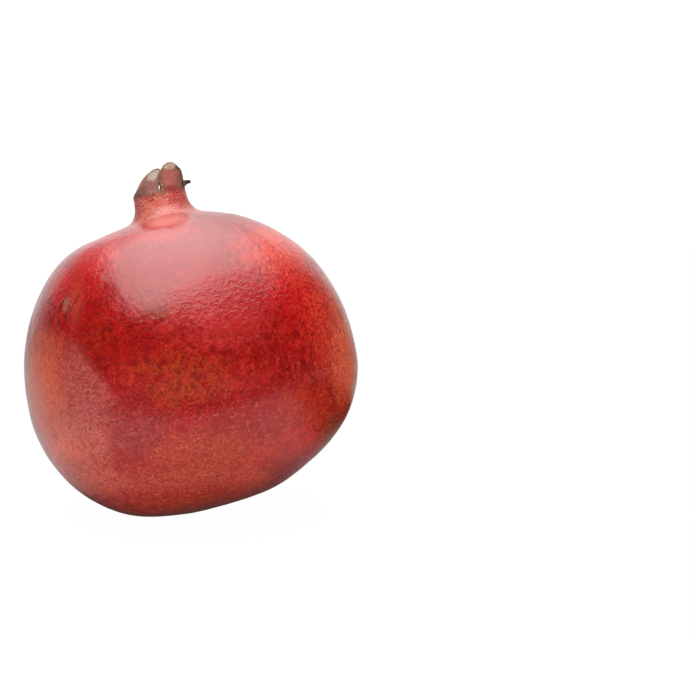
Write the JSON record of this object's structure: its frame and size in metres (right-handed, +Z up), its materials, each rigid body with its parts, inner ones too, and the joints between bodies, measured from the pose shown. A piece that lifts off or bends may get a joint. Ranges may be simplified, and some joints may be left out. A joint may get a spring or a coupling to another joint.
{
  "type": "pomegranate",
  "caption": "Whole fresh pomegranate with its crown of sepals, dried stamens and cut stalk, resting aslant on a small flat spot of its base.",
  "frame": {"origin": "middle of the small flat spot of the base that the fruit rests on, straight under its centre of mass", "axes": "+Z up in the rest pose, -Y towards the viewer, so that the crown leans to -X and a little to +Y"},
  "size_m": [0.1004, 0.1005, 0.1049],
  "materials": {
    "rind": "waxy, leathery, deep red mottled with orange and brown",
    "dried_stamens": "dry, matte, straw brown",
    "woody_stalk": "dry, matte bark and cut wood"
  },
  "bodies": {
    "root": {"fruit": "rind", "stamens": "dried_stamens", "stem_stub": "woody_stalk"}
  },
  "joints": []
}
